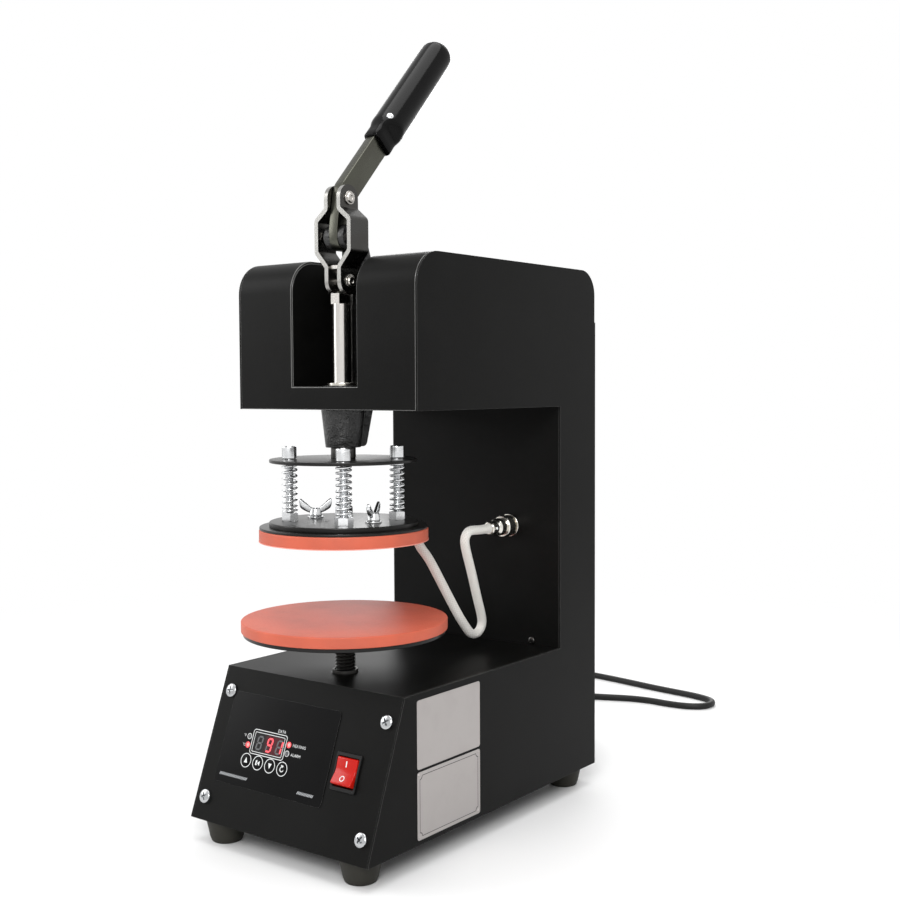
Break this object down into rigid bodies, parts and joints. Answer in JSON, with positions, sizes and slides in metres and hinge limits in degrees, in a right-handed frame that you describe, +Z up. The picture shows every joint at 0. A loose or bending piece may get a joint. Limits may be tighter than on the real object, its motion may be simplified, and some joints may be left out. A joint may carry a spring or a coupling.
{
  "type": "plate heat press",
  "caption": "Bench press with a heated upper pad, an adjustable lower pad, and a toggle lever that drives the shaft down through a C-shaped housing.",
  "frame": {"origin": "centre of the object's footprint, without its mains cord, at the bottom of the feet", "axes": "+Z up, -Y towards the control panel at the front, +X towards the right side as a user at the front sees it"},
  "size_m": [0.2992, 0.6263, 0.6098],
  "materials": {
    "side_panel_left": "satin powder coat",
    "side_panel_right": "satin powder coat",
    "arm_cover": "satin powder coat",
    "slot_liner": "satin powder coat",
    "arm_bottom_plate": "satin powder coat",
    "column_plate": "satin powder coat",
    "base_top_plate": "satin powder coat",
    "control_panel": "satin powder coat",
    "base_bottom_plate": "satin powder coat",
    "rear_cover": "satin powder coat",
    "front_screws": "bright zinc",
    "rear_screws": "black",
    "feet": "matte",
    "foot_screws": "zinc",
    "label_plates": "satin, bare",
    "guide_casting": "black enamel over a rough casting",
    "casting_screws": "black oxide",
    "guide_bush": "turned",
    "pivot_bolt": "turned",
    "screw_bushing": "turned, darkened",
    "control_overlay": "gloss",
    "display_window": "dark tinted",
    "display_module": "matte, with lit digits",
    "lamps": "clear",
    "controller_board": "laminate",
    "rocker_bezel": "semi gloss",
    "transformer": "varnished",
    "terminal_block": "matte",
    "panel_socket": "nickel plated",
    "cable_plug": "nickel plated",
    "heater_lead": "woven glass fibre sleeve",
    "cord_gland": "matte",
    "mains_cord": "matte",
    "cord_coil": "matte",
    "mains_plug": "matte, with bright pins",
    "lever_bar": "as rolled",
    "lever_grip": "gloss",
    "grip_screw": "bright zinc",
    "link_straps": "as rolled",
    "link_pins": "turned",
    "press_shaft": "ground",
    "shaft_collar": "turned",
    "spring_disc": "satin black",
    "springs": "bright zinc",
    "spring_bolts": "bright zinc",
    "carrier_nuts": "bright zinc",
    "carrier_plate": "satin black",
    "heating_element": "cast",
    "upper_pad": "silicone, matte",
    "lead_boot": "woven sleeve",
    "wing_nut_left": "bright zinc",
    "wing_nut_right": "bright zinc",
    "lower_pad": "silicone, matte",
    "lower_disc": "satin black",
    "height_screw": "black oxide",
    "power_rocker": "translucent red",
    "key_up": "gloss",
    "key_mode": "gloss",
    "key_down": "gloss",
    "key_set": "gloss"
  },
  "bodies": {
    "frame": {"side_panel_left": "side_panel_left", "side_panel_right": "side_panel_right", "arm_cover": "arm_cover", "slot_liner": "slot_liner", "arm_bottom_plate": "arm_bottom_plate", "column_plate": "column_plate", "base_top_plate": "base_top_plate", "control_panel": "control_panel", "front_screws": "front_screws", "base_bottom_plate": "base_bottom_plate", "rear_cover": "rear_cover", "rear_screws": "rear_screws", "feet": "feet", "foot_screws": "foot_screws", "label_plates": "label_plates", "guide_casting": "guide_casting", "casting_screws": "casting_screws", "guide_bush": "guide_bush", "pivot_bolt": "pivot_bolt", "screw_bushing": "screw_bushing", "control_overlay": "control_overlay", "display_window": "display_window", "display_module": "display_module", "lamps": "lamps", "controller_board": "controller_board", "rocker_bezel": "rocker_bezel", "transformer": "transformer", "terminal_block": "terminal_block", "panel_socket": "panel_socket", "cable_plug": "cable_plug", "heater_lead": "heater_lead", "cord_gland": "cord_gland", "mains_cord": "mains_cord", "cord_coil": "cord_coil", "mains_plug": "mains_plug"},
    "lever": {"lever_bar": "lever_bar", "lever_grip": "lever_grip", "grip_screw": "grip_screw"},
    "links": {"link_straps": "link_straps", "link_pins": "link_pins"},
    "press_shaft": {"press_shaft": "press_shaft", "shaft_collar": "shaft_collar", "spring_disc": "spring_disc", "springs": "springs"},
    "heater_head": {"spring_bolts": "spring_bolts", "carrier_nuts": "carrier_nuts", "carrier_plate": "carrier_plate", "heating_element": "heating_element", "upper_pad": "upper_pad", "lead_boot": "lead_boot"},
    "wing_nut_left": {"wing_nut_left": "wing_nut_left"},
    "wing_nut_right": {"wing_nut_right": "wing_nut_right"},
    "lower_platen": {"lower_pad": "lower_pad", "lower_disc": "lower_disc", "height_screw": "height_screw"},
    "power_rocker": {"power_rocker": "power_rocker"},
    "key_up": {"key_up": "key_up"},
    "key_mode": {"key_mode": "key_mode"},
    "key_down": {"key_down": "key_down"},
    "key_set": {"key_set": "key_set"}
  },
  "joints": [
    {"name": "lever_swing", "type": "hinge", "parent": "frame", "child": "lever", "pos_m": [0, -0.07, 0.4455], "axis": [1, 0, 0], "range_deg": [0, 180]},
    {"name": "link_swing", "type": "hinge", "parent": "lever", "child": "links", "pos_m": [0, -0.07, 0.4735], "axis": [1, 0, 0], "range_deg": [-180, 0]},
    {"name": "shaft_press", "type": "slide", "parent": "frame", "child": "press_shaft", "axis": [0, 0, -1], "range_m": [0, 0.056], "deforming": ["heater_lead"]},
    {"name": "platen_float", "type": "slide", "parent": "press_shaft", "child": "heater_head", "axis": [0, 0, 1], "range_m": [0, 0.003], "stiffness_N_per_m": 20000, "springref_m": -0.004, "deforming": ["springs"]},
    {"name": "wing_nut_left_turn", "type": "hinge", "parent": "heater_head", "child": "wing_nut_left", "pos_m": [-0.03016, -0.06847, 0.2386], "axis": [0, 0, 1], "continuous": true},
    {"name": "wing_nut_right_turn", "type": "hinge", "parent": "heater_head", "child": "wing_nut_right", "pos_m": [0.03016, -0.07153, 0.2386], "axis": [0, 0, 1], "continuous": true},
    {"name": "platen_height", "type": "slide", "parent": "frame", "child": "lower_platen", "axis": [0, 0, 1], "range_m": [-0.012, 0.0015]},
    {"name": "rocker_tip", "type": "hinge", "parent": "frame", "child": "power_rocker", "pos_m": [0.051, -0.12555, 0.07063], "axis": [1, 0, 0], "range_deg": [0, 16]},
    {"name": "key_up_press", "type": "slide", "parent": "frame", "child": "key_up", "axis": [0, 0.9359, -0.3524], "range_m": [0, 0.0004], "stiffness_N_per_m": 1000, "springref_m": -0.0006},
    {"name": "key_mode_press", "type": "slide", "parent": "frame", "child": "key_mode", "axis": [0, 0.9359, -0.3524], "range_m": [0, 0.0004], "stiffness_N_per_m": 1000, "springref_m": -0.0006},
    {"name": "key_down_press", "type": "slide", "parent": "frame", "child": "key_down", "axis": [0, 0.9359, -0.3524], "range_m": [0, 0.0004], "stiffness_N_per_m": 1000, "springref_m": -0.0006},
    {"name": "key_set_press", "type": "slide", "parent": "frame", "child": "key_set", "axis": [0, 0.9359, -0.3524], "range_m": [0, 0.0004], "stiffness_N_per_m": 1000, "springref_m": -0.0006}
  ],
  "couplings": [
    {"joint": "link_swing", "follows": "lever_swing", "ratio": -1},
    {"joint": "shaft_press", "follows": "lever_swing", "m_per_rad": 0.017825}
  ]
}
